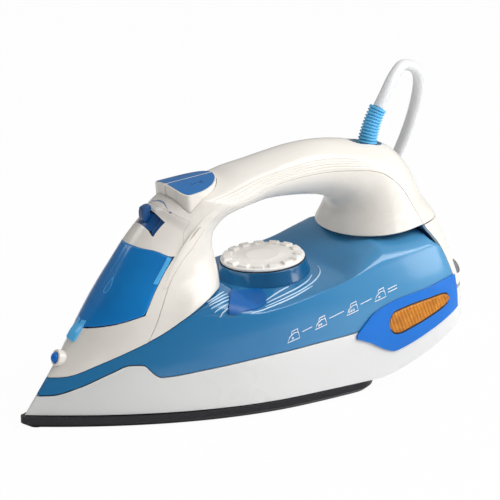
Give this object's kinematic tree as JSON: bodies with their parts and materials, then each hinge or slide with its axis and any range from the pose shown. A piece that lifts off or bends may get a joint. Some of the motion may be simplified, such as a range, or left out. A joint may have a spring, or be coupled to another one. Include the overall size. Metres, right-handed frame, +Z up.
{
  "type": "steam iron",
  "caption": "Steam iron with translucent water tank, filler door, steam lever, spray and burst buttons, temperature dial, amber lamp lenses and coiled mains cord with plug.",
  "frame": {"origin": "middle of the sole face under the middle of the iron's length, without the free cord", "axes": "+X from toe to heel, +Y across the iron, +Z up from the sole face; the dial's spindle leans 4 degrees from +Z"},
  "size_m": [0.328, 0.2376, 0.1865],
  "materials": {
    "black_enamel": "gloss",
    "die_cast": "satin",
    "heater_sheath": "matte",
    "sheet_metal": "satin",
    "thermostat": "satin",
    "fuse_sleeve": "matte",
    "light_grey_plastic": "gloss",
    "grey_rubber": "matte",
    "blue_translucent": "clear gloss",
    "smoke_clear": "clear gloss",
    "silicone": "matte",
    "stainless": "satin",
    "navy_plastic": "gloss",
    "white_plastic": "gloss",
    "pale_plastic": "matte",
    "deep_blue_translucent": "clear gloss",
    "dark_blue_plastic": "gloss",
    "inlay_blue": "gloss",
    "dark_plastic": "matte",
    "spring_steel": "satin",
    "bright_blue_plastic": "gloss",
    "silicone_tube": "matte",
    "amber_lens": "clear gloss",
    "lamp": "gloss",
    "zinc_steel": "satin",
    "blue_rubber": "matte",
    "white_cord": "matte",
    "plated_brass": "gloss"
  },
  "bodies": {
    "iron": {"soleplate": "black_enamel", "sole_casting": "die_cast", "heating_element": "heater_sheath", "chamber_cover": "sheet_metal", "thermostat": "thermostat", "thermal_fuse": "fuse_sleeve", "skirt": "light_grey_plastic", "heel_base": "light_grey_plastic", "heel_feet": "grey_rubber", "tank": "blue_translucent", "tank_base": "smoke_clear", "valve_seat": "silicone", "dial_turret": "blue_translucent", "dial_pointer": "navy_plastic", "nose_panel": "white_plastic", "handle_top": "white_plastic", "handle_inner": "white_plastic", "rear_cover": "white_plastic", "door_pin": "stainless", "inlet_funnel": "smoke_clear", "lever_pin": "stainless", "lever_bracket": "pale_plastic", "spray_pump": "pale_plastic", "burst_pump": "pale_plastic", "spray_spring": "spring_steel", "burst_spring": "spring_steel", "nozzle": "bright_blue_plastic", "nozzle_ring": "white_plastic", "spray_hose": "silicone_tube", "burst_tube": "silicone_tube", "trim_left": "bright_blue_plastic", "trim_right": "bright_blue_plastic", "lens_left": "amber_lens", "lens_right": "amber_lens", "lamp_left": "lamp", "lamp_right": "lamp", "terminal_block": "dark_plastic", "cord_clamp": "pale_plastic", "screws": "zinc_steel", "boot": "blue_rubber", "cord": "white_cord", "cord_coil": "white_cord", "cord_lead": "white_cord", "plug_body": "white_cord", "plug_pins": "plated_brass"},
    "dial": {"dial": "white_plastic", "dial_spindle": "pale_plastic"},
    "spray_button": {"spray_button": "white_plastic", "spray_inlay": "inlay_blue", "spray_piston": "dark_plastic"},
    "burst_button": {"burst_button": "white_plastic", "burst_inlay": "inlay_blue", "burst_piston": "dark_plastic"},
    "lever": {"steam_lever": "dark_blue_plastic"},
    "valve": {"valve_rod": "stainless"},
    "door": {"water_door": "deep_blue_translucent"}
  },
  "joints": [
    {"name": "dial_turn", "type": "hinge", "parent": "iron", "child": "dial", "pos_m": [0.0179, 0, 0.0807], "axis": [-0.0698, 0, 0.9976], "range_deg": [-150, 150]},
    {"name": "spray_press", "type": "slide", "parent": "iron", "child": "spray_button", "axis": [0.0958, 0, -0.9954], "range_m": [0, 0.0045], "stiffness_N_per_m": 900, "springref_m": -0.003, "deforming": ["spray_spring"]},
    {"name": "burst_press", "type": "slide", "parent": "iron", "child": "burst_button", "axis": [0.0958, 0, -0.9954], "range_m": [0, 0.0045], "stiffness_N_per_m": 900, "springref_m": -0.003, "deforming": ["burst_spring"]},
    {"name": "lever_swing", "type": "hinge", "parent": "iron", "child": "lever", "pos_m": [-0.05371, 0, 0.10735], "axis": [0.5, 0, 0.866], "range_deg": [-15, 15]},
    {"name": "valve_turn", "type": "hinge", "parent": "iron", "child": "valve", "pos_m": [-0.0525, 0, 0.05], "axis": [0, 0, 1], "range_deg": [-16, 16]},
    {"name": "door_open", "type": "hinge", "parent": "iron", "child": "door", "pos_m": [-0.06237, 0, 0.1062], "axis": [0, 1, 0], "range_deg": [0, 60]}
  ],
  "couplings": [
    {"joint": "valve_turn", "follows": "lever_swing", "ratio": 1}
  ]
}
